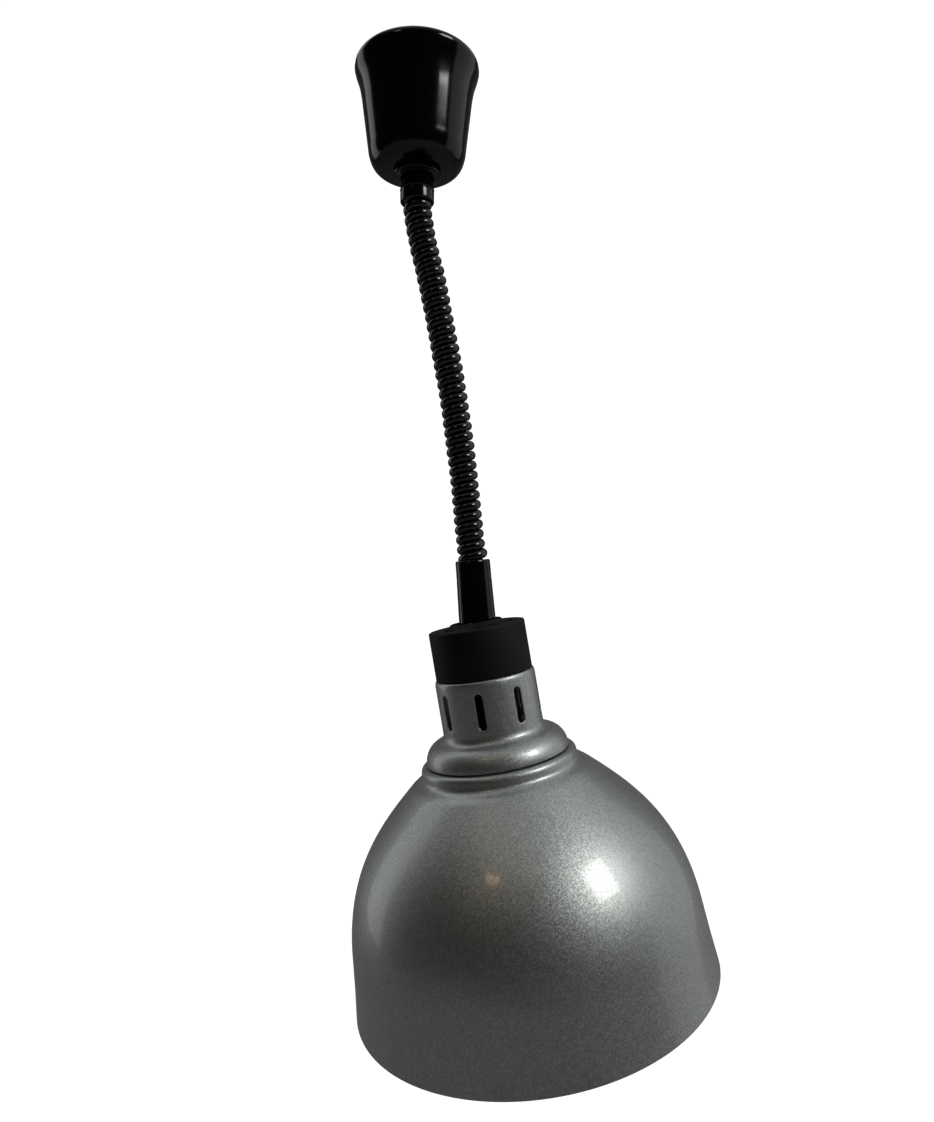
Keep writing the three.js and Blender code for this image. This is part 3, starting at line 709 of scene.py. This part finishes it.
class MakeTails(Operator):
    """Makes the cable's straight tails in the two sleeves"""

    bl_idname = "heat_lamp.tails"
    bl_label = "Cord tails"

    def execute(self, context):
        """Each tail is a bar along a smooth route."""
        upper = smooth([
            [5.2, -97.6], [5.2, -76], [5.4, -58], [9, -51], [17, -46], [20.6, -38], [21, -19],
        ])
        lower = smooth([[4, 63.2], [4.4, 50], [4, 38]], 12)
        self.tail("cord_tail_upper", upper, upright, 2.9, "ceiling_unit")
        self.tail("cord_tail_lower", lower, in_sleeve, 3.2, "sleeve")
        return {"FINISHED"}

    def tail(self, name, route, place, radius, body):
        """A bar along a route in the XZ plane, in millimetres."""
        centres = place(np.stack([route[:, 0], 0 * route[:, 0], route[:, 1]], 1))
        sideways = np.tile([0.0, 1.0, 0.0], (len(centres), 1))
        grid = bar(centres, sideways, radius * MM, 20)
        run = np.linspace(0, 0.1, len(grid))
        make_piece(name + "_skin", [grid], "cord_black", body, (name,), uv=(run, np.linspace(0, 1, 21)))


# ---------- ceiling unit ----------


class MakeCup(Operator):
    """Turns the ceiling cup, its lock ring, the base plate and the guide sleeve"""

    bl_idname = "heat_lamp.cup"
    bl_label = "Ceiling cup and guide sleeve"

    def execute(self, context):
        """Each piece is a closed profile turned round the upright axis. The cup's wall is two smooth
        curves, one for each face."""
        flank = smooth([
            [46.8, -5.4], [45.9, -9], [43.6, -16], [41.8, -25], [40.4, -36], [38.9, -48], [37.2, -62],
            [36.2, -69], [33.6, -75.4], [29.4, -79], [24, -80],
        ])
        inner = smooth([
            [24, -78], [28.4, -77.2], [32.0, -74], [34.3, -68.4], [35.2, -61], [36.4, -48],
            [37.8, -36], [39.2, -25], [41, -16], [43, -9],
        ])
        cup = outline(
            [[43.2, -0.9, 0.4], [44.5, -0.4, 0.5], [46.3, -2.2, 1.4]], flank,
            [[12.6, -80, 0.4], [12.6, -78, 0.4]], inner,
        )
        turned_piece("ceiling_cup", cup, upright, "gloss_black", "ceiling_unit", 240)
        ring = outline([
            [12.6, -80.3, 0.2], [18, -80.3, 0.3], [18, -83.9, 1.1], [15.5, -83.9, 0.2],
            [15.4, -84.9, 0.4], [12.6, -84.9, 0.3],
        ])
        turned_piece("cup_lock_ring", ring, upright, "gloss_black", "ceiling_unit")
        sleeve = outline(
            [[8.4, -60.4, 0.3], [15.4, -60.4, 0.5], [15.4, -63, 0.5], [11.4, -64.4, 0.8]],
            bend([11.2, -84], [11.2, -88], [12.1, -90.6], [13, -94.2], 10),
            [[12.2, -94.9, 0.3], [12.8, -96.2, 0.4], [12.8, -103.2, 1.3], [11.7, -104, 0.5],
             [11.3, -103.4, 0.3], [11.3, -97.4, 0.5], [8.4, -95, 0.5]],
        )
        turned_piece("upper_sleeve", sleeve, upright, "gloss_black", "ceiling_unit")
        plate = outline([[8.8, -60.1, 0.2], [27, -60.1, 0.4], [27, -58.6, 0.4], [8.8, -58.6, 0.2]])
        turned_piece("sleeve_plate", plate, upright, "zinc_steel", "ceiling_unit")
        return {"FINISHED"}


class MakeReel(Operator):
    """Turns the reel's drum and its spring cover"""

    bl_idname = "heat_lamp.reel"
    bl_label = "Reel"

    def execute(self, context):
        """Each piece is a closed profile turned round the reel's own axis."""
        drum = outline([
            [3.3, -5.6, 0.3], [17.5, -5.6, 0.5], [17.5, -4.4, 0.5], [11, -4.4, 1], [11, 4.4, 1],
            [17.5, 4.4, 0.3], [17.5, 10.2, 0.4], [16.3, 10.2, 0.3], [16.3, 5.4, 0.3], [3.3, 5.4, 0.3],
        ])
        turned_piece("reel_drum", drum, on_reel, "nylon", "reel", 96)
        cover = outline([[4.6, 10.5, 0.1], [17.5, 10.5, 0.2], [17.5, 11.2, 0.2], [4.6, 11.2, 0.1]])
        turned_piece("spring_cover", cover, on_reel, "zinc_steel", "reel", 96)
        return {"FINISHED"}


# ---------- lower sleeve ----------

PANEL_HALF = math.radians(52)
PANEL_GAP = math.radians(0.9)
SLEEVE_RADIUS = 13.3


def sleeve_wall():
    """Matching outer and inner profiles of the sleeve's wall, from its top to its foot."""
    outer = outline([
        [11.4, 63.6, 0.3], [12.6, 63.5, 0.5], [13.1, 62.4, 0.6], [13.22, 50.4, 0.5], [13.12, 49.4, 0.5],
        [13.3, 48.4, 0.5], [13.9, 21, 1], [13.9, 17, 0.4], [12.6, 17],
    ], steps=6)
    run = np.linspace(0, 1, len(outer))
    inner_run, inner_radius = [0, 0.2, 0.86, 0.93, 1], [10.2, 10.2, 10.2, 7, 7]
    inner = np.stack([np.interp(run, inner_run, inner_radius), outer[:, 1]], 1)
    return outer, inner


def sector(outer, inner, first, last, place, steps, relief=None, edge=0.3):
    """A wall carried from one angle to another. Its thickness shrinks by 1 - cos over each upright
    edge, which rounds it, and then to nothing, which shuts it. relief(x, z) sinks the outer face."""
    roll = np.linspace(0, math.pi / 2, 5)
    lip = edge / 13.0 * (1 - np.sin(roll))
    angle = np.concatenate([
        [first], first + lip[::-1], np.linspace(first, last, steps)[2:-2], last - lip, [last]
    ])
    squeeze = 1 - 0.2 * (1 - np.cos(roll))
    thick = np.concatenate([[0], squeeze[::-1], np.ones(steps - 4), squeeze, [0]])
    wall = np.concatenate([outer, inner[::-1], outer[:1]])
    middle = (outer + inner) / 2
    middle = np.concatenate([middle, middle[::-1], middle[:1]])
    r = middle[:, 0, None] + (wall - middle)[:, 0, None] * thick
    z = middle[:, 1, None] + (wall - middle)[:, 1, None] * thick
    if relief:
        facing = np.concatenate([np.ones(len(outer)), np.zeros(len(inner)), [1]])[:, None]
        r = r - relief((angle + math.pi / 2) * SLEEVE_RADIUS, z) * facing * (thick > 0)
    return place(np.stack([r * np.cos(angle), r * np.sin(angle), z], -1))


def panel_relief(x, z):
    """A faint U-shaped groove: a Gaussian of the distance from a round-ended outline."""
    width, foot, top, fade = 5.6, 34.0, 54.0, 8.0
    groove, deep = 0.3, 0.07
    d = np.where(z < foot, np.hypot(x, z - foot), np.abs(x)) - width
    return deep * np.exp(-((d / groove) ** 2)) * np.clip((top - z) / fade, 0, 1)


class MakeLowerSleeve(Operator):
    """Makes the lower sleeve's back shell and clipped front panel, and the swivel stem inside it"""

    bl_idname = "heat_lamp.lower_sleeve"
    bl_label = "Lower sleeve"

    def execute(self, context):
        """Two walls carried round the sleeve's axis, with a narrow gap between them at both sides. The
        stem is a profile turned round that axis, with an arc of a circle for its ball."""
        front = -math.pi / 2
        outer, inner = sleeve_wall()
        known, rows = np.arange(len(outer)), np.linspace(0, len(outer) - 1, 150)
        fine_outer, fine_inner = (
            np.stack([np.interp(rows, known, wall[:, k]) for k in range(2)], 1) for wall in (outer, inner)
        )
        panel = sector(
            fine_outer, fine_inner, front - PANEL_HALF, front + PANEL_HALF, in_sleeve, 110, panel_relief
        )
        make_piece("lower_sleeve_front_skin", [panel], "gloss_black", "sleeve", ("lower_sleeve_front",))
        shell = sector(
            outer, inner, front + PANEL_HALF + PANEL_GAP, front + FULL_TURN - PANEL_HALF - PANEL_GAP,
            in_sleeve, 160,
        )
        make_piece("lower_sleeve_back_skin", [shell], "gloss_black", "sleeve", ("lower_sleeve_back",))
        arc = np.radians(np.linspace(-46, 52, 24))
        ball = 11 * np.stack([np.cos(arc), np.sin(arc)], 1)
        stem = outline([[4, -8, 0.3]], ball, [[6.5, 9.4, 0.6], [6.5, 29.6, 0.4], [4, 29.6, 0.3]])
        turned_piece("swivel_stem", stem, in_sleeve, "zinc_steel", "sleeve", 96)
        return {"FINISHED"}


# ---------- lamp head ----------


def crown(r):
    """Height of the cap's crown: a shallow dome, with a Gaussian collar round the well."""
    return 0.3 + 1.9 * (1 - (r / 34.2) ** 2) + 2.0 * np.exp(-(((r - 18.8) / 1.7) ** 2))


class MakeCap(Operator):
    """Makes the vented black cap"""

    bl_idname = "heat_lamp.cap"
    bl_label = "Vented cap"

    def execute(self, context):
        """The crown is six sectors, each round one vent, between a rim strip and a well strip."""
        wall, middle, half, count, across = 2.4, 26.0, 5.2, 6, 17

        def on_crown(step):
            """Wraps a flat patch round the axis and lays it on the crown, turned by a step."""
            def place(long, wide, depth):
                r, a = middle + wide, long / middle + step
                return in_head(np.stack([r * np.cos(a), r * np.sin(a), crown(r) - depth], -1))
            return place

        turn = FULL_TURN / count
        first = math.radians(40)
        grids = [
            pierced(turn / 2 * middle, half, 7.4, 2.5, wall, on_crown(first + k * turn), 0.4, (9, across))
            for k in range(count)
        ]
        high, low = middle + half, middle - half
        rim = outline(
            [[high, crown(high)], [33.6, crown(33.6), 0.6], [36.6, 0.1, 1.6], [36.6, -36, 0.5],
             [34.2, -36, 0.3], [34.2, -3.4, 2], [high, crown(high) - wall]],
        )
        well = outline(
            [[low, crown(low) - wall], [19.2, -0.4, 0.6], [19.2, -3.4, 0.4], [8.8, -3.4, 0.3],
             [8.8, -1, 0.4], [16.8, -1, 0.5], [17.2, crown(17.9), 0.6]],
            np.stack([np.linspace(17.9, low, 14), crown(np.linspace(17.9, low, 14))], 1),
        )
        columns = count * (across - 1)
        grids += [turned(strip, in_head, columns, first - turn / 2) for strip in (rim, well)]
        make_piece("cap_skin", grids, "matte_black", "lamp_head", ("cap",))
        return {"FINISHED"}


class MakeNeck(Operator):
    """Makes the slotted silver neck with its rounded shoulder"""

    bl_idname = "heat_lamp.neck"
    bl_label = "Slotted neck"

    def execute(self, context):
        """The barrel is eight sectors, each round one slot, between a top strip and a shoulder strip."""
        radius, wall, count, ends = 38.0, 1.3, 8, 25
        middle, half = -58.0, 17.0

        def on_barrel(step):
            """Wraps a flat patch round the barrel, turned by a step."""
            def place(long, wide, depth):
                a, r = wide / radius + step, radius - depth
                return in_head(np.stack([r * np.cos(a), r * np.sin(a), middle + long], -1))
            return place

        turn = FULL_TURN / count
        first = math.radians(-101)
        grids = [
            pierced(half, turn / 2 * radius, 13, 3, wall, on_barrel(first + k * turn), 0.55, (ends, 25))
            for k in range(count)
        ]
        top, foot, bore = middle + half, middle - half, radius - wall
        upper = outline([
            [radius, top], [37.9, -38.4, 1], [37.2, -36.4, 1.3], [31, -36.4, 0.4], [31, -37.7, 0.4],
            [35.6, -37.7, 0.8], [bore, -39.6, 0.8], [bore, top],
        ])
        lower = outline(
            [[radius, foot]],
            bend([38, -76], [38.2, -79.6], [39.6, -81.4], [43.2, -82.1]),
            bend([44.4, -82.4], [49.4, -83.8], [53.4, -88.8], [53.9, -95.8]),
            [[53.9, -97, 0.4], [45, -97, 0.4], [45, -95.7, 0.4], [52.4, -95.7, 0.6]],
            bend([52.3, -94.4], [51.8, -89.4], [48.6, -85.4], [43.9, -83.9]),
            bend([42.7, -83.5], [38.6, -82.7], [36.9, -80.6], [bore, -76]),
            [[bore, foot]],
        )
        columns = count * (ends - 1)
        grids += [turned(strip, in_head, columns, first - turn / 2) for strip in (upper, lower)]
        make_piece("neck_skin", grids, "silver_paint", "lamp_head", ("neck",))
        return {"FINISHED"}


class MakeShade(Operator):
    """Spins the bell shade and the ring that clamps it under the neck"""

    bl_idname = "heat_lamp.shade"
    bl_label = "Bell shade"

    def execute(self, context):
        """The bell is four cubic curves turned round the lamp's axis, with an inner face that follows
        the outer one."""
        outer = np.vstack([
            bend([55.4, -98], [57.6, -98.2], [58.7, -99.6], [58.9, -102], 8),
            bend([59, -105], [59.3, -107.2], [60.6, -108.6], [65.4, -110.3], 12),
            bend([68.6, -112.6], [99.5, -140], [126.5, -166], [130.6, -222], 60),
            [[132.6, -244], [134.9, -264.4]],
        ])
        inner = np.vstack([
            [[131.4, -244]],
            bend([129.4, -222], [125.4, -166.8], [98.6, -141], [67.8, -113.6], 60),
            bend([64.6, -111.4], [59.4, -109.6], [58.1, -108.0], [57.8, -105], 12),
            bend([57.7, -102], [57.5, -100.4], [56.8, -99.4], [55.2, -99.2], 8),
        ])
        shade = outline(
            [[45, -98, 0.3], [54.6, -98, 0.3]], outer, [[135, -265, 0.3], [133.8, -265, 0.3]], inner,
            [[45, -99.2, 0.3]],
        )
        turned_piece("shade", shade, in_head, "silver_paint", "lamp_head", 288)
        clamp = outline([[45, -101.5, 0.3], [54, -101.5, 0.3], [54, -99.5, 0.3], [45, -99.5, 0.3]])
        turned_piece("shade_clamp_ring", clamp, in_head, "zinc_steel", "lamp_head")
        return {"FINISHED"}


class MakeBulb(Operator):
    """Makes the reflector bulb and the porcelain holder round its cap"""

    bl_idname = "heat_lamp.bulb"
    bl_label = "Bulb and holder"

    def execute(self, context):
        """The bulb is two cubic curves, a flared neck and a rounded face, turned round the lamp's axis
        with an inner face inside them."""
        outer = np.vstack([
            [[12, -88], [16, -89.6], [17, -94]],
            bend([17.4, -108], [24, -132], [50, -160], [60, -196], 30),
            bend([62, -206], [63.6, -222], [58, -232], [44, -238], 20),
            [[24, -241.6], [0, -243]],
        ])
        shell = np.vstack([outer[::-1], np.array([[9.5, -88.4], [14.5, -90.4], [15.4, -94.4]])])
        inner = np.vstack([
            bend([15.8, -108], [22.4, -132.6], [48.4, -161], [58.4, -196], 30),
            bend([60.4, -206], [61.8, -221], [56.8, -230.6], [43.6, -236.4], 20),
            [[24, -240], [0, -241.4]],
        ])
        glass = turned(outline(shell, inner), in_head)
        make_piece("bulb_glass_skin", [glass], "bulb_glass", "lamp_head", ("bulb_glass",))
        holder = outline([
            [0, -61], [0, -39.5], [23, -39.5, 1], [23, -76, 1], [20, -79, 0.6], [20, -88, 1],
            [14.8, -88, 0.6], [14.8, -61, 0.4],
        ])
        # The holder's near-black colour is painted shade for the dark inside of the neck, seen through its slots.
        turned_piece("lamp_holder", holder, in_head, "porcelain", "lamp_head", 96)
        return {"FINISHED"}


class DressHardware(Operator):
    """Gives every CAD node that still shows its finish"""

    bl_idname = "heat_lamp.hardware"
    bl_label = "Hardware finishes"

    def execute(self, context):
        """A hidden node is one that a finer piece stands for, so it is passed over."""
        slots = {row["node"]: row["material_slot"] for row in frame["record"]["subparts"]}
        for name, node in frame["nodes"].items():
            if node.hide_render:
                continue
            node.data.materials.clear()
            node.data.materials.append(FINISHES[slots[name]]())
        return {"FINISHED"}


# ---------- stage ----------


class MakeCamera(Operator):
    """Places the camera level with the middle of the cord, straight in front"""

    bl_idname = "heat_lamp.camera"
    bl_label = "Camera"

    def execute(self, context):
        data = bpy.data.cameras.new("camera")
        data.lens = 24.385
        data.sensor_width = 36
        data.clip_start = 0.01
        camera = bpy.data.objects.new("camera", data)
        camera.location = (0.0376, -0.574, -0.3736)
        camera.rotation_euler = (math.pi / 2, 0, 0)
        context.scene.collection.objects.link(camera)
        context.scene.camera = camera
        return {"FINISHED"}


def area_light(name, place, aim, width, height, power, colour):
    """A rectangular softbox that faces a point."""
    data = bpy.data.lights.new(name, "AREA")
    data.shape = "RECTANGLE"
    data.size, data.size_y = width, height
    data.energy = power
    data.color = colour
    light = bpy.data.objects.new(name, data)
    bpy.context.scene.collection.objects.link(light)
    light.location = place
    light.rotation_euler = (aim - light.location).to_track_quat("-Z", "Y").to_euler()
    return light


class MakeStage(Operator):
    """Makes the white sweep, the surroundings and the lights"""

    bl_idname = "heat_lamp.stage"
    bl_label = "Stage"

    def execute(self, context):
        context.scene.view_settings.view_transform = "Standard"
        self.sweep()
        self.surroundings()
        studio = settings().studio
        low, high = (np.array(corner) for corner in CAD_BOX)
        middle = (low + high) / 2
        shade = Vector((middle[0], 0, low[2] + 0.13))
        area_light("key", (2.76, -1.76, 1.84), shade, 1.2, 1.4, studio.key, (1, 0.99, 0.97))
        area_light("warm", (-1.48, -2.32, 2.24), shade, 0.55, 0.35, studio.warm, (1, 0.7, 0.42))
        return {"FINISHED"}

    def sweep(self):
        """A floor that curves up into a wall: straight, a quarter circle, straight."""
        floor = settings().studio.floor
        near, back, radius, top, half = -4.6, 2.6, 1.2, 3.5, 5.0
        turn = np.linspace(0, math.pi / 2, 24)
        curve = np.stack([back + radius * np.sin(turn), floor + radius * (1 - np.cos(turn))], 1)
        side = np.vstack([[[near, floor]], curve, [[back + radius, top]]])
        across = np.linspace(-half, half, 12)
        grid = np.stack(
            [across[None] + 0 * side[:, :1], side[:, :1] + 0 * across, side[:, 1:] + 0 * across], -1
        )
        mesh = bpy.data.meshes.new("sweep")
        mesh.from_pydata(grid.reshape(-1, 3).tolist(), [], quads(grid).tolist())
        mesh.polygons.foreach_set("use_smooth", np.ones(len(mesh.polygons), bool))
        mesh.materials.append(self.paper())
        stage = bpy.data.objects.new("sweep", mesh)
        bpy.context.scene.collection.objects.link(stage)

    def paper(self):
        """Pale paper that shows as plain white, and still reflects and shades as paper does."""
        material, tree, shader, place = finish_base("white_paper")
        cloud = noise(tree, place, 1.5)
        tint = tinted(tree, cloud, (0.36, 0.36, 0.36), (0.38, 0.38, 0.38))
        tree.links.new(tint, shader.inputs["Base Color"])
        shader.inputs["Roughness"].default_value = 0.9
        shader.inputs["Emission Color"].default_value = (1, 1, 1, 1)
        seen = tree.nodes.new("ShaderNodeLightPath").outputs["Is Camera Ray"]
        tree.links.new(seen, shader.inputs["Emission Strength"])
        return material

    def surroundings(self):
        """White behind and above, twice as bright on the left as on the right, a dark room in front,
        and plain white to the camera itself."""
        studio = settings().studio
        world = bpy.data.worlds.new("studio")
        bpy.context.scene.world = world
        world.use_nodes = True
        tree = world.node_tree
        tree.nodes.clear()
        view = tree.nodes.new("ShaderNodeTexCoord").outputs["Generated"]
        split = add(tree, "ShaderNodeSeparateXYZ", Vector=view)
        aslant = (0.25, 1, 0)
        slanted = add(tree, "ShaderNodeVectorMath", {"operation": "DOT_PRODUCT"}, i0=view, i1=aslant)
        behind = between(tree, slanted.outputs["Value"], 0, 1, (-0.03, 0.03))
        above = between(tree, split.outputs["Z"], 0, 0.6, (0.74, 0.88))
        white = add(tree, "ShaderNodeMath", {"operation": "MAXIMUM"}, i0=behind, i1=above).outputs[0]
        side = between(tree, split.outputs["X"], 2.0, 1.05, (-0.95, 0.3))
        tent = add(tree, "ShaderNodeMath", {"operation": "MULTIPLY"}, i0=side, i1=white).outputs[0]
        level = add(
            tree, "ShaderNodeMath", {"operation": "MULTIPLY_ADD"}, i0=tent, i1=studio.tent, i2=studio.room
        ).outputs[0]
        seen = tree.nodes.new("ShaderNodeLightPath").outputs["Is Camera Ray"]
        mix = add(tree, "ShaderNodeMix", {"data_type": "FLOAT"}, i0=seen, i2=level, i3=1.0)
        back = add(tree, "ShaderNodeBackground", Color=(1, 1, 1, 1), Strength=mix.outputs[0])
        out = tree.nodes.new("ShaderNodeOutputWorld")
        tree.links.new(back.outputs[0], out.inputs["Surface"])


# ---------- panel and registration ----------

OPERATORS = (
    MakeCamera, MakeCord, MakeTails, MakeCup, MakeReel, MakeLowerSleeve, MakeCap, MakeNeck, MakeShade,
    MakeBulb, DressHardware, MakeStage,
)


class HeatLampPanel(Panel):
    """Lists the lamp's settings and the steps that build it."""

    bl_idname = "VIEW3D_PT_heat_lamp"
    bl_label = "Heat lamp"
    bl_space_type = "VIEW_3D"
    bl_region_type = "UI"
    bl_category = "Heat lamp"

    def draw(self, context):
        for group in ("cord", "shell", "finish", "studio"):
            box = self.layout.box()
            values = getattr(settings(), group)
            for key in values.bl_rna.properties.keys():
                if key not in {"rna_type", "name"}:
                    box.prop(values, key)
        for operator in OPERATORS:
            self.layout.operator(operator.bl_idname)


CLASSES = (
    CordSizes, ShellSizes, FinishSettings, StudioSettings, HeatLampSettings, *OPERATORS, HeatLampPanel,
)


def register():
    """Adds the classes and hangs the settings on the scene."""
    for kind in CLASSES:
        bpy.utils.register_class(kind)
    bpy.types.Scene.heat_lamp = PointerProperty(type=HeatLampSettings)


def unregister():
    """Takes away what register added."""
    del bpy.types.Scene.heat_lamp
    for kind in reversed(CLASSES):
        bpy.utils.unregister_class(kind)


def main():
    """Builds the lamp step by step."""
    register()
    for operator in OPERATORS:
        group, step = operator.bl_idname.split(".")
        getattr(getattr(bpy.ops, group), step)()


if __name__ == "__main__":
    main()
